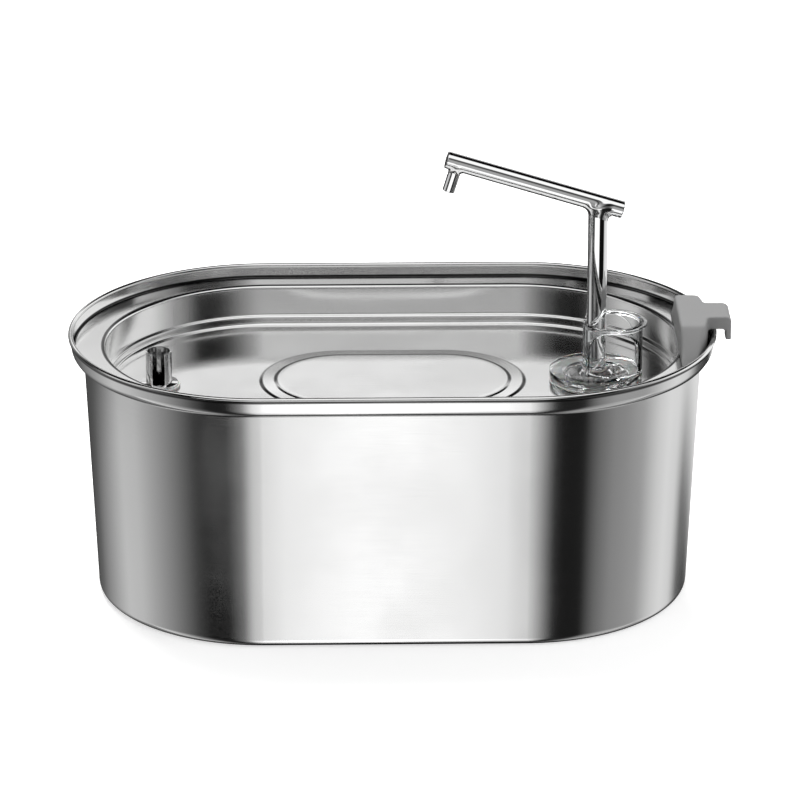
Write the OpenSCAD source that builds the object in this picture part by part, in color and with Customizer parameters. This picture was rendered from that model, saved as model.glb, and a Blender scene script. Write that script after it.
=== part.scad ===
// Pet water fountain: an oval steel tub with a lift-out drinking tray, a swivelling faucet on a
// clear outlet seat, and a submersible pump with its filter case inside the tub.
// Millimetres, +Z up. The origin is the middle of the tub's underside and +X runs to the faucet end.

/* [Tub] */
// Length over the rim
tub_l = 290; // [280:1:320]
// Width over the rim
tub_w = 174; // [170:1:190]
// Height to the top of the rim
tub_h = 122.6; // [118:0.1:140]
// Thickness of the pressed sheet
sheet_t = 0.8; // [0.5:0.1:0.9]
// How far the wall foot stands in from the rim
foot_inset = 11.4; // [8:0.1:14]
// How far the wall top stands in from the rim
wall_inset = 6.8; // [6:0.1:8]
// Height of the flared collar above the wall
collar_h = 10.6; // [9:0.1:14]
// Bend radius at the foot of the wall
foot_bend = 4; // [2:0.5:8]

/* [Tray] */
// Height of the flange below the rim's top
flange_drop = 6.6; // [5:0.1:8]
// Depth of the drinking well below the flange
well_depth = 18.4; // [16:0.1:22]
// Width of the flange at the sides, from the rim to the well's edge
side_inset = 13.9; // [12:0.1:18]
// Width of the flange at the ends, from the rim to the well's edge
end_inset = 16.7; // [14:0.1:20]
// Length of the raised oval on the floor
oval_l = 118; // [90:1:130]
// Width of the raised oval on the floor
oval_w = 73; // [50:1:90]
// Height of the raised oval
oval_rise = 0.8; // [0.5:0.1:2.5]

/* [Overflow] */
// Place of the overflow pipe along the tray
pipe_x = -104.6; // [-110:0.1:-95]
// Place of the overflow pipe across the tray
pipe_y = -6; // [-12:0.5:12]
// Outer diameter of the overflow pipe
pipe_d = 11.6; // [10:0.1:13]
// Wall of the overflow pipe
pipe_t = 0.8; // [0.6:0.1:1]
// Width of the slot down the front of the pipe
pipe_slot = 5.4; // [4:0.1:6]

/* [Faucet] */
// Place of the stem along the tray
stem_x = 91.2; // [91:0.1:93]
// Outer diameter of the stem
stem_d = 8.8; // [8:0.1:8.8]
// Outer diameter of the arm
arm_d = 7.8; // [7:0.1:8.4]
// Length of the arm
arm_l = 82; // [60:0.1:90]
// Height at which the arm's axis crosses the stem's
arm_z = 181; // [150:0.5:200]
// Upward slope of the arm
arm_tilt = 17; // [0:0.1:20]
// How far the arm runs past the stem
arm_past = 11.5; // [8:0.5:14]
// Outer diameter of the nozzle
nozzle_d = 5.5; // [4.5:0.1:6]
// Reach of the nozzle below the arm's axis
nozzle_l = 13.8; // [10:0.1:18]
// Distance from the nozzle to the arm's free end
nozzle_in = 5.1; // [4.5:0.1:8]

/* [Clear parts] */
// Radius of the clear outlet seat
seat_r = 20.8; // [20:0.1:22]
// Thickness of the clear outlet seat
seat_t = 4.2; // [3:0.1:5]
// Outer radius of the clear cup
cup_r = 13.4; // [13.3:0.1:14]
// Height of the clear cup
cup_h = 22.8; // [18:0.1:26]
// Width of the cup's arched windows
window_w = 21; // [16:0.5:22]

/* [Cable clip] */
// Length of the clip's flat top along the rim
clip_w = 40; // [32:1:48]
// Height of the clip's top above the rim
clip_rise = 7.6; // [6:0.1:10]
// Width of the hook over the rim
hook_w = 19.4; // [12:0.1:24]
// Width of the lead's channel
lead_w = 4.8; // [4.4:0.1:5.6]

/* [Pump] */
// Height of the impeller's axis above the table
axis_z = 32; // [32:0.5:34]
// Width of the pump
pump_w = 36; // [34:0.5:38]
// Number of impeller vanes
vanes = 6; // [4:1:8]
// Number of slots in the filter case's grille
case_slots = 8; // [5:1:9]

/* [Hidden] */
$fn = 96;

// Running gap on a turning or sliding fit, and the gap between parts that only lie near each other
fit_gap = 0.05;
part_gap = 0.3;
eps = 0.01;

// Tub: r is counted out from the line that joins the two end axes
tub_half = (tub_l - tub_w) / 2;
rim_r = tub_w / 2;
wall_top_r = rim_r - wall_inset;
wall_top_z = tub_h - collar_h;
wall_foot_r = rim_r - foot_inset;
wall_lean = atan((wall_top_r - wall_foot_r) / wall_top_z);
collar_bend = 5;
collar_step = 0.5;
collar_lean = 10;
collar_c = [wall_top_r + collar_step, wall_top_z + collar_bend];
bead_r = 1.1;
bead_root = 0.45;
bead_c = [rim_r - bead_r, tub_h - bead_r];

// Tray
flange_z = tub_h - flange_drop;
floor_z = flange_z - well_depth;
flange_gap = 0.5;
flange_r = collar_c[0] + collar_bend - sheet_t - flange_gap;
well_r = rim_r - side_inset;
well_half = tub_l / 2 - end_inset - well_r;
edge_bend = 1.5;
ledge_bend = 1.0;
floor_bend = 1.2;
ledge_h = 4.1;
ledge_in = 0.8;
ledge_r = well_r - ledge_in;
band_r = ledge_r - ledge_bend;
oval_slope = 6;
oval_half = (oval_l - oval_w) / 2;
oval_lap = 1;
foot_r = band_r - floor_bend;
foot_spread = 0.2;
band_lean = 4;
well_lean = 3;
hole_r = 14;

// The cable clip's foot fills a notch in the tray's flange
clip_in_x = 127.3;
clip_out_x = 141;
foot_half = 34;
foot_t = 2.2;
notch_r = well_r + 2.1;
notch_gap = 0.4;
hook_z = 124.1;
hook_root_x = 134;
hook_out_x = 151;
lip_t = 2.6;
lip_z = 119.3;
hook_round = 2.5;
lead_x = [132, 137];
lead_roof = 3.5;

// Overflow pipe and grommet
grommet_r = 9.5;
grommet_t = 1.2;
grommet_neck_r = 7.5;
pipe_low_z = 84;
pipe_top_z = flange_z - edge_bend;
pipe_rim_r = 8.5;
pipe_rim_t = 1;

// Outlet seat, cup and riser
gasket_t = 0.6;
gasket_r = [14.5, 19.4];
seat_z = floor_z + gasket_t;
seat_top = seat_z + seat_t;
seat_x = 91.2;
sleeve_r = 5;
sleeve_low = 86;
sleeve_top = 0.4;
socket_r = 8.2;
socket_low = 83;
nipple_r = 4.55;
nipple_low = 72;
water_r = 3;
spigot_out = hole_r - part_gap;
spigot_in = 11.9;
spigot_h = 6;
drain_r = 1.5;
drain_at = [8.8, 4.4];
cup_x = 98.6;
cup_wall = 1.4;
lip_out = 2.2;
lip_h = 1.3;
window_foot = 0.8;
window_gap = 0.4;
riser_r = 5.8;
riser_low = 50.3;

// Faucet
stem_r = stem_d / 2;
stem_bore = 2.6;
stem_low = 87;
arm_r = arm_d / 2;
arm_bore = 2.9;
nozzle_r = nozzle_d / 2;
nozzle_bore = 1.8;
plug_t = 1.6;
ring_z = [90, 96];
ring_r = 0.45;
ring_room = 0.3;
ring_proud = 0.02;

// Pump, laid along X from the intake to the rear cover
chamber_x = [84, 98];
chamber_r = 13.5;
chamber_out = 17;
motor_x = [98, 128];
motor_z = [6, 52];
shell_t = 1.6;
rear_t = 2;
well_in = 6.7;
well_out = 7.8;
well_end = 121.5;
outlet_r = 4.5;
outlet_top = 62;
boss_r = 6.2;
boss_h = 18;
gland_x = 120;
gland_r = 3.5;
core_x = [103, 117];
core_out = 13;
core_in = 8.1;
yoke_z = [axis_z - 19, axis_z - 14];
bobbin_in = 0.1;
bobbin_t = 1;
cheek_out = 3;
coil_y = [6, 6.8];
winding_out = [1.1, 2.5];
board_x = [124, 125.2];
board_z = [axis_z - 20, axis_z + 14];
board_half = 14;
chip_t = 0.9;
chip_half = 3;
chip_z = [axis_z - 18, axis_z - 12];
capacitor_t = 1.4;
capacitor_y = [9, 12];
capacitor_z = [axis_z + 2, axis_z + 7];
shaft_r = 1;
shaft_x = [85.2, 121.5];
magnet_r = 6.2;
magnet_x = [101, 118];
hub_r = 2.2;
impeller_r = 12;
disc_x = [95.5, 97];
vane_x = [88.4, 95.6];
vane_t = 1.2;
vane_r = [1.8, 11.5];
bush_l = 2.5;
cover_x = [80, 84];
inlet_r = 7.5;
holder_r = 4.4;
holder_in = 3.2;
holder_end = 1.5;
bush_gap = 0.5;
spigot_t = 1.5;
spigot_l = 2.5;
spoke_t = 1.6;
spokes = 3;
dial_x = [77.2, 79.7];
dial_pin = 1.5;
pin_out = 1.2;
dial_r = 10;
tab_out = 1.5;
tab_t = 2;
tab_r = [6.5, 12];
port_at = 5.1;
port_r = 2.2;
cup_at = [[104, 11], [120, 11], [104, -11], [120, -11]];
sucker_h = 3.2;
sucker_r = [6.6, 3.4];
sucker_neck_r = 2.4;
collar_r = 4.6;
boot_l = 7;
boot_r = [3.4, 2.5];
lead_r = 1.5;

// Filter case
case_x = [48, 83.6];
case_wall = 1.6;
case_gap = 0.4;
case_half = pump_w / 2 + case_gap;
case_z = [axis_z - case_half, axis_z + case_half];
carbon_x = [51, 60];
foam_x = [61, 72];
block_half = case_half - case_wall;
block_rest = 0.2;
lid_gap = 0.6;
slot_w = 1.6;
slot_half = 13;

// Points on an arc about c, from angle a to angle b
function arc(c, r, a, b, n = 6) = [for (i = [0:n]) c + r * [cos(a + (b - a) * i / n), sin(a + (b - a) * i / n)]];

// Left-hand unit normal of the step from p to q
function side(p, q) = let (d = (q - p) / norm(q - p)) [-d[1], d[0]];

// Mitred normal of path p at its point i
function mitre(p, i) =
    let (a = side(p[max(i - 1, 0)], p[max(i, 1)]))
    let (b = side(p[min(i, len(p) - 2)], p[min(i + 1, len(p) - 1)]))
    (a + b) / (1 + a * b);

// Closed outline of a sheet of thickness t on the left of an open path
function sheet(p, t) = concat(p, [for (i = [len(p) - 1:-1:0]) p[i] + t * mitre(p, i)]);

// Oval with full-round ends
module oval(half, r) {
    square([2 * half, 2 * r], center = true);
    for (x = [-half, half])
        translate([x, 0]) circle(r);
}

// Sweeps a profile, r out from the end axes and z up, round an oval with full-round ends
module oval_sweep(half) {
    for (turn = [0, 180])
        rotate([0, 0, turn]) {
            translate([half, 0, 0]) rotate([0, 0, -90]) rotate_extrude(angle = 180) children();
            translate([-half, 0, 0]) rotate([90, 0, 90]) linear_extrude(2 * half) children();
        }
}

// Round bar, bore or disc along X between two stations, about the impeller's axis
module along_x(x, r, y = 0, z = axis_z) {
    translate([x[0], y, z]) rotate([0, 90, 0]) cylinder(h = x[1] - x[0], r = r);
}

// Box between two stations along each axis
module box(x, y, z) {
    translate([x[0], y[0], z[0]]) cube([x[1] - x[0], y[1] - y[0], z[1] - z[0]]);
}

// Puts its children on the arm: its axis becomes Z, running to the free end from the stem's axis
module on_arm() {
    translate([stem_x, 0, arm_z]) rotate([0, arm_tilt - 90, 0]) children();
}

module tub() {
    foot_c = [wall_foot_r - foot_bend, foot_bend];
    path = concat(
        [[0, 0]],
        arc(foot_c, foot_bend, -90, -wall_lean, 8),
        [[wall_top_r, wall_top_z]],
        arc(collar_c, collar_bend, -90, -collar_lean, 8),
        [[rim_r - bead_root, tub_h - bead_r]]
    );
    color("gainsboro")
        oval_sweep(tub_half) {
            union() {
                polygon(sheet(path, sheet_t));
                translate(bead_c) circle(bead_r, $fn = 24);
            }
        }
}

// Notch that lets the clip's foot and the lead through the tray's flange
module flange_notch(gap) {
    intersection() {
        difference() {
            translate([tub_half, 0]) circle(rim_r);
            translate([well_half, 0]) circle(notch_r + part_gap - gap);
        }
        translate([clip_in_x - gap, -foot_half - gap]) square([rim_r, 2 * (foot_half + gap)]);
    }
}

module drinking_tray() {
    well = concat(
        [[0, floor_z]],
        arc([foot_r + foot_spread, floor_z + floor_bend], floor_bend, -90, band_lean),
        arc([ledge_r, floor_z + ledge_h - ledge_bend], ledge_bend, 180, 90),
        arc([well_r + edge_bend, flange_z - edge_bend], edge_bend, 180 - well_lean, 90),
        [[well_r + 3 * edge_bend, flange_z]]
    );
    slope = [
        [0, floor_z + oval_rise],
        [oval_w / 2 - oval_slope, floor_z + oval_rise],
        [oval_w / 2, floor_z],
        [oval_w / 2 + oval_lap, floor_z],
    ];
    color("silver")
        difference() {
            union() {
                difference() {
                    oval_sweep(well_half) polygon(sheet(well, -sheet_t));
                    translate([0, 0, floor_z - 2 * sheet_t])
                        linear_extrude(3 * sheet_t) oval(oval_half, (oval_w + oval_lap) / 2);
                }
                oval_sweep(oval_half) polygon(sheet(slope, -sheet_t));
                translate([0, 0, flange_z - sheet_t]) linear_extrude(sheet_t) {
                    difference() {
                        oval(tub_half, flange_r);
                        oval(well_half, well_r + 2 * edge_bend);
                    }
                }
            }
            translate([0, 0, flange_z - 2 * sheet_t]) linear_extrude(3 * sheet_t) flange_notch(notch_gap);
            translate([stem_x, 0, floor_z - 2 * sheet_t]) cylinder(h = 4 * sheet_t, r = hole_r);
            translate([pipe_x, pipe_y, floor_z - 2 * sheet_t])
                cylinder(h = 4 * sheet_t, r = grommet_neck_r);
        }
}

module overflow_grommet() {
    low = floor_z - sheet_t - grommet_t;
    color("whitesmoke")
        translate([pipe_x, pipe_y, 0])
            difference() {
                union() {
                    translate([0, 0, low]) cylinder(h = grommet_t, r = grommet_r);
                    translate([0, 0, low]) cylinder(h = 2 * grommet_t + sheet_t, r = grommet_neck_r);
                    translate([0, 0, floor_z]) cylinder(h = grommet_t, r = grommet_r);
                }
                translate([0, 0, low - 1]) cylinder(h = 3 * grommet_t + sheet_t + 2, r = pipe_d / 2 + fit_gap);
            }
}

module overflow_pipe() {
    stop_z = floor_z + grommet_t + fit_gap;
    color("silver")
        translate([pipe_x, pipe_y, 0])
            difference() {
                union() {
                    translate([0, 0, pipe_low_z]) cylinder(h = pipe_top_z - pipe_low_z, r = pipe_d / 2);
                    translate([0, 0, stop_z]) cylinder(h = pipe_rim_t, r = pipe_rim_r);
                }
                translate([0, 0, pipe_low_z - 1])
                    cylinder(h = pipe_top_z - pipe_low_z + 2, r = pipe_d / 2 - pipe_t);
                translate([-pipe_slot / 2, -pipe_rim_r - 1, stop_z + pipe_rim_t])
                    cube([pipe_slot, pipe_rim_r + 1, tub_h]);
            }
}

module outlet_seat() {
    color("lightcyan", 0.5)
        difference() {
            union() {
                translate([seat_x, 0, seat_z]) cylinder(h = seat_t, r = seat_r);
                translate([stem_x, 0, socket_low]) cylinder(h = seat_z - socket_low + eps, r = socket_r);
                translate([stem_x, 0, nipple_low]) cylinder(h = socket_low - nipple_low + eps, r = nipple_r);
                translate([stem_x, 0, seat_z - spigot_h])
                    difference() {
                        cylinder(h = spigot_h + eps, r = spigot_out);
                        translate([0, 0, -1]) cylinder(h = spigot_h + 1, r = spigot_in);
                    }
            }
            translate([stem_x, 0, sleeve_low - fit_gap])
                cylinder(h = seat_top - sleeve_low + 1, r = sleeve_r + fit_gap);
            translate([stem_x, 0, nipple_low - 1]) cylinder(h = seat_top - nipple_low, r = water_r);
            for (s = [-1, 1])
                translate([stem_x + drain_at[0], s * drain_at[1], seat_z - 1])
                    cylinder(h = seat_t + 2, r = drain_r, $fn = 32);
        }
}

module clear_cup() {
    arch_r = window_w / 2;
    spring_z = cup_h - lip_h - window_gap - arch_r;
    lip_r = cup_r + lip_out;
    color("lightcyan", 0.5)
        translate([cup_x, 0, seat_top])
            difference() {
                union() {
                    cylinder(h = cup_h, r = cup_r);
                    translate([0, 0, cup_h - lip_h]) cylinder(h = lip_h, r = lip_r);
                }
                translate([0, 0, -1]) cylinder(h = cup_h + 2, r = cup_r - cup_wall);
                translate([stem_x - cup_x, 0, -1]) cylinder(h = cup_h + 2, r = sleeve_r + part_gap);
                box([-lip_r - 1, stem_x - stem_r - cup_x], [-lip_r, lip_r], [cup_h - lip_h, cup_h + 1]);
                rotate([90, 0, 0]) linear_extrude(3 * cup_r, center = true) {
                    translate([-arch_r, window_foot]) square([window_w, spring_z - window_foot]);
                    translate([0, spring_z]) circle(arch_r);
                }
            }
}

module seat_gasket() {
    color("white")
        translate([stem_x, 0, floor_z])
            difference() {
                cylinder(h = gasket_t, r = gasket_r[1]);
                translate([0, 0, -1]) cylinder(h = gasket_t + 2, r = gasket_r[0]);
            }
}

module riser_tube() {
    color("whitesmoke")
        translate([stem_x, 0, riser_low])
            difference() {
                cylinder(h = socket_low - riser_low, r = riser_r);
                translate([0, 0, -1]) cylinder(h = socket_low - riser_low + 2, r = nipple_r);
            }
}

module swivel_sleeve() {
    color("whitesmoke", 0.6)
        translate([stem_x, 0, 0])
            difference() {
                translate([0, 0, sleeve_low]) cylinder(h = seat_top - sleeve_low + sleeve_top, r = sleeve_r);
                translate([0, 0, sleeve_low - 1]) cylinder(h = 1 + stem_low - sleeve_low, r = water_r);
                translate([0, 0, stem_low - fit_gap])
                    cylinder(h = seat_top - sleeve_low + 2, r = stem_r + fit_gap);
            }
}

module faucet_stem() {
    color("silver")
        difference() {
            translate([stem_x, 0, stem_low]) cylinder(h = arm_z - stem_low, r = stem_r);
            translate([stem_x, 0, stem_low - 1]) cylinder(h = arm_z - stem_low + 1, r = stem_bore);
            on_arm() cylinder(h = 4 * arm_r, r = arm_r, center = true);
            for (z = ring_z)
                translate([stem_x, 0, z])
                    difference() {
                        cylinder(h = 2 * ring_r + ring_room, r = stem_r + 1, center = true);
                        cylinder(h = 2 * ring_r + 1, r = stem_r - 2 * ring_r, center = true);
                    }
        }
}

module faucet_arm() {
    color("silver")
        difference() {
            on_arm() translate([0, 0, -arm_past]) cylinder(h = arm_l, r = arm_r);
            on_arm() translate([0, 0, -arm_past - 1]) cylinder(h = arm_l + 2, r = arm_bore);
            translate([stem_x, 0, arm_z - 2 * arm_r]) cylinder(h = 2 * arm_r, r = stem_bore);
            on_arm()
                translate([0, 0, arm_l - arm_past - nozzle_in])
                    rotate([0, -90, 0]) cylinder(h = 2 * arm_r, r = nozzle_bore);
        }
}

module spout_nozzle() {
    color("silver")
        on_arm()
            difference() {
                translate([0, 0, arm_l - arm_past - nozzle_in])
                    rotate([0, -90, 0])
                        difference() {
                            cylinder(h = nozzle_l, r = nozzle_r);
                            translate([0, 0, -1]) cylinder(h = nozzle_l + 2, r = nozzle_bore);
                        }
                cylinder(h = 3 * arm_l, r = arm_r, center = true);
            }
}

module arm_end_plugs() {
    color("dimgray")
        on_arm()
            for (z = [-arm_past, arm_l - arm_past - plug_t])
                translate([0, 0, z]) cylinder(h = plug_t, r = arm_bore);
}

module stem_o_rings() {
    color("black")
        for (z = ring_z)
            translate([stem_x, 0, z])
                rotate_extrude() translate([stem_r - ring_r + ring_proud, 0]) circle(ring_r, $fn = 24);
}

module cable_clip() {
    top_z = tub_h + clip_rise;
    low_z = flange_z - foot_t;
    out_r = clip_out_x - tub_half;
    block = [
        [-foot_half, low_z],
        [-foot_half, flange_z],
        [-clip_w / 2, top_z],
        [clip_w / 2, top_z],
        [foot_half, flange_z],
        [foot_half, low_z],
    ];
    hook = concat(
        [[hook_root_x, hook_z], [hook_out_x - lip_t, hook_z], [hook_out_x - lip_t, lip_z], [hook_out_x, lip_z]],
        arc([hook_out_x - hook_round, top_z - hook_round], hook_round, 0, 90),
        [[hook_root_x, top_z]]
    );
    color("darkgray")
        difference() {
            union() {
                intersection() {
                    translate([clip_in_x, 0, 0])
                        rotate([90, 0, 90]) linear_extrude(clip_out_x - clip_in_x) polygon(block);
                    translate([tub_half, 0, low_z - 1]) cylinder(h = top_z - low_z + 2, r = out_r);
                }
                translate([0, hook_w / 2, 0]) rotate([90, 0, 0]) linear_extrude(hook_w) polygon(hook);
            }
            translate([well_half, 0, low_z - 1])
                cylinder(h = foot_t + 1 + 2 * fit_gap, r = notch_r + part_gap);
            box(lead_x, [-lead_w / 2, lead_w / 2], [low_z - 1, hook_z + lead_roof]);
            box([lead_x[0], hook_out_x + 1], [-lead_w / 2, lead_w / 2], [hook_z - 1, hook_z + lead_roof]);
            box([hook_out_x - lip_t - 1, hook_out_x + 1], [-lead_w / 2, lead_w / 2], [lip_z - 1, hook_z]);
        }
}

module pump_housing() {
    half = pump_w / 2;
    color("dimgray")
        difference() {
            union() {
                box(motor_x, [-half, half], motor_z);
                along_x([chamber_x[0], chamber_x[1] + 1], chamber_out);
                translate([stem_x, 0, axis_z]) cylinder(h = boss_h, r = boss_r);
                translate([stem_x, 0, axis_z]) cylinder(h = outlet_top - axis_z, r = outlet_r);
            }
            difference() {
                box(
                    [motor_x[0] + shell_t, motor_x[1] + 1],
                    [shell_t - half, half - shell_t],
                    [motor_z[0] + shell_t, motor_z[1] - shell_t]
                );
                along_x([motor_x[0], well_end + shell_t], well_out);
            }
            along_x([chamber_x[0] - 1, chamber_x[1]], chamber_r);
            along_x([chamber_x[0], well_end], well_in);
            translate([stem_x, 0, axis_z]) cylinder(h = outlet_top, r = water_r);
            translate([gland_x, 0, motor_z[1] - 2 * shell_t]) cylinder(h = 4 * shell_t, r = gland_r);
        }
}

module pump_rear_cover() {
    half = pump_w / 2;
    lap = 2;
    wall = shell_t + 2 * fit_gap;
    color("dimgray")
        difference() {
            union() {
                box([motor_x[1], motor_x[1] + rear_t], [-half, half], motor_z);
                box(
                    [motor_x[1] - lap, motor_x[1] + eps],
                    [wall - half, half - wall],
                    [motor_z[0] + wall, motor_z[1] - wall]
                );
            }
            box(
                [motor_x[1] - lap - 1, motor_x[1]],
                [2 * shell_t - half, half - 2 * shell_t],
                [motor_z[0] + 2 * shell_t, motor_z[1] - 2 * shell_t]
            );
        }
}

module stator_core() {
    leg_top = axis_z + core_in;
    leg_in = core_in - 1;
    color("slategray")
        difference() {
            union() {
                box(core_x, [-core_out, core_out], yoke_z);
                box(core_x, [-core_out, -leg_in], [yoke_z[0], leg_top]);
                box(core_x, [leg_in, core_out], [yoke_z[0], leg_top]);
            }
            along_x([core_x[0] - 1, core_x[1] + 1], core_in);
        }
}

// Box round the core's yoke, a given distance out from it, between two stations across the pump
module round_yoke(out, y) {
    box([core_x[0] - out, core_x[1] + out], y, [yoke_z[0] - out, yoke_z[1] + out]);
}

module coil_bobbin() {
    cheek_t = coil_y[1] - coil_y[0];
    color("ivory")
        difference() {
            union() {
                round_yoke(bobbin_in + bobbin_t, [-coil_y[1], coil_y[1]]);
                for (s = [-1, 1])
                    translate([0, s * (coil_y[0] + cheek_t / 2), 0])
                        round_yoke(cheek_out, [-cheek_t / 2, cheek_t / 2]);
            }
            round_yoke(bobbin_in, [-coil_y[1] - 1, coil_y[1] + 1]);
        }
}

module coil_winding() {
    color("peru")
        difference() {
            round_yoke(winding_out[1], [-coil_y[0], coil_y[0]]);
            round_yoke(winding_out[0], [-coil_y[0] - 1, coil_y[0] + 1]);
        }
}

module control_board() {
    face_x = board_x[0];
    color("darkgreen") box(board_x, [-board_half, board_half], board_z);
    color("black") box([face_x - chip_t, face_x], [-chip_half, chip_half], chip_z);
    color("tan") box([face_x - capacitor_t, face_x], capacitor_y, capacitor_z);
}

module rotor_magnet() {
    color("black")
        difference() {
            along_x(magnet_x, magnet_r);
            along_x([magnet_x[0] - 1, magnet_x[1] + 1], hub_r);
        }
}

module impeller() {
    color("white")
        difference() {
            union() {
                along_x([vane_x[0], magnet_x[1]], hub_r);
                along_x(disc_x, impeller_r);
                for (i = [0:vanes - 1])
                    translate([0, 0, axis_z]) rotate([360 * i / vanes, 0, 0])
                        box(vane_x, [-vane_t / 2, vane_t / 2], vane_r);
            }
            along_x([vane_x[0] - 1, magnet_x[1] + 1], shaft_r + fit_gap);
        }
}

module rotor_shaft() {
    color("white") along_x(shaft_x, shaft_r);
}

module rear_bush() {
    color("black")
        difference() {
            along_x([well_end - bush_l, well_end], well_in);
            along_x([well_end - bush_l - 1, well_end + 1], shaft_r);
        }
}

module front_bush() {
    color("black")
        difference() {
            along_x([cover_x[1] - 1, vane_x[0] - bush_gap], holder_in);
            along_x([cover_x[1] - 2, vane_x[0]], shaft_r + fit_gap);
        }
}

module intake_cover() {
    half = pump_w / 2;
    color("dimgray")
        difference() {
            union() {
                difference() {
                    union() {
                        box(cover_x, [-half, half], [axis_z - half, axis_z + half]);
                        along_x([cover_x[1] - eps, cover_x[1] + spigot_l], chamber_r - fit_gap);
                    }
                    along_x([cover_x[0] - 1, cover_x[1] + spigot_l + 1], inlet_r);
                    along_x([cover_x[1] + bush_gap, cover_x[1] + spigot_l + 1], chamber_r - spigot_t);
                }
                along_x([cover_x[0], cover_x[1] + holder_end], holder_r);
                for (i = [0:spokes - 1])
                    translate([0, 0, axis_z]) rotate([360 * i / spokes, 0, 0])
                        box(
                            [cover_x[0], cover_x[1] - 1],
                            [-spoke_t / 2, spoke_t / 2],
                            [holder_in, inlet_r + 1]
                        );
                along_x([dial_x[0] - pin_out, cover_x[0] + eps], dial_pin);
            }
            along_x([cover_x[1] - 1, cover_x[1] + spigot_l + 1], holder_in);
        }
}

module flow_dial() {
    color("gray")
        difference() {
            union() {
                along_x(dial_x, dial_r);
                translate([0, 0, axis_z])
                    box([dial_x[0] - tab_out, dial_x[1]], [-tab_t / 2, tab_t / 2], tab_r);
            }
            along_x([dial_x[0] - tab_out - 1, dial_x[1] + 1], dial_pin + fit_gap);
            for (i = [0:spokes - 1])
                translate([0, 0, axis_z]) rotate([360 * (i + 0.5) / spokes, 0, 0])
                    translate([dial_x[0] - 1, 0, port_at])
                        rotate([0, 90, 0]) cylinder(h = dial_x[1] - dial_x[0] + 2, r = port_r, $fn = 32);
        }
}

module suction_cups() {
    color("dimgray")
        for (p = cup_at)
            translate([p[0], p[1], sheet_t]) {
                cylinder(h = sucker_h, r1 = sucker_r[0], r2 = sucker_r[1]);
                cylinder(h = motor_z[0] - sheet_t, r = sucker_neck_r);
            }
}

module cable_gland() {
    color("black")
        translate([gland_x, 0, motor_z[1]])
            difference() {
                union() {
                    translate([0, 0, -shell_t]) cylinder(h = shell_t, r = gland_r);
                    cylinder(h = shell_t, r = collar_r);
                    cylinder(h = boot_l, r1 = boot_r[0], r2 = boot_r[1]);
                }
                translate([0, 0, -shell_t - 1]) cylinder(h = boot_l + shell_t + 2, r = lead_r);
            }
}

module filter_case() {
    out = case_half + case_wall;
    pitch = 2 * (block_half - 1) / case_slots;
    first = pitch / 2 - block_half + 1;
    color("lightslategray")
        difference() {
            box(case_x, [-out, out], [axis_z - out, axis_z + out]);
            box([case_x[0] + case_wall, case_x[1] + 1], [-case_half, case_half], case_z);
            box(
                [carbon_x[0] - lid_gap, foam_x[1] + lid_gap],
                [-block_half - case_gap, block_half + case_gap],
                [axis_z, axis_z + 2 * out]
            );
            for (i = [0:case_slots - 1])
                box(
                    [case_x[0] - 1, case_x[0] + 2 * case_wall],
                    [first + i * pitch - slot_w / 2, first + i * pitch + slot_w / 2],
                    [axis_z - slot_half, axis_z + slot_half]
                );
        }
}

// A filter block that fills the case between two stations
module filter_block(x) {
    box(x, [-block_half, block_half], [case_z[0] + block_rest, case_z[1]]);
}

module foam_block() {
    color("darkslategray") filter_block(foam_x);
}

module carbon_cartridge() {
    color("white") filter_block(carbon_x);
}

tub();
drinking_tray();
overflow_grommet();
overflow_pipe();
outlet_seat();
clear_cup();
seat_gasket();
riser_tube();
swivel_sleeve();
faucet_stem();
faucet_arm();
spout_nozzle();
arm_end_plugs();
stem_o_rings();
cable_clip();
pump_housing();
pump_rear_cover();
stator_core();
coil_bobbin();
coil_winding();
control_board();
rotor_magnet();
impeller();
rotor_shaft();
rear_bush();
front_bush();
intake_cover();
flow_dial();
suction_cups();
cable_gland();
filter_case();
foam_block();
carbon_cartridge();
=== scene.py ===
import math

import bmesh
import bpy
import numpy as np
from mathutils import Matrix, Vector


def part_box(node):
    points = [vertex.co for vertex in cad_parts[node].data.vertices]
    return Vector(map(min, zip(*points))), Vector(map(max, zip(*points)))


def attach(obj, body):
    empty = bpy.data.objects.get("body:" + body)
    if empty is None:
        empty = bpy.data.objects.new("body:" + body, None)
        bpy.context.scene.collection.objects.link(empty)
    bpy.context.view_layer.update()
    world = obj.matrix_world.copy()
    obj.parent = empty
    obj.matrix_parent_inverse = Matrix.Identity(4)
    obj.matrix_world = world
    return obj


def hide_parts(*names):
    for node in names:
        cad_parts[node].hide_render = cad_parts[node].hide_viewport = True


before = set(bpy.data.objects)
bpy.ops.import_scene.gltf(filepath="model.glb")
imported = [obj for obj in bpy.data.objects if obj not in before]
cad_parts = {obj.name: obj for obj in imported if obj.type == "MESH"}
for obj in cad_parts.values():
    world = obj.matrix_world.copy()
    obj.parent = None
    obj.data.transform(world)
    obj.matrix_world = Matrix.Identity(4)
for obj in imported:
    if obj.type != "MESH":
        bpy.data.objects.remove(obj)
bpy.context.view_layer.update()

# --- Tub --------------------------------------------------------------------------------
# Deep-drawn from one blank of 0.8 mm stainless sheet: a flat bottom, a wall that leans out a
# little and a flared collar that carries the tray. The rim is rolled into a round bead, and
# the whole piece is satin-polished along its length.
MM = 0.001
SHEET = 0.8
END_AXIS = 58.0
ROUND_STEPS = 112
STRAIGHT_STEPS = 12
GUARD = 0.3
WELD = 0.002


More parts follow.
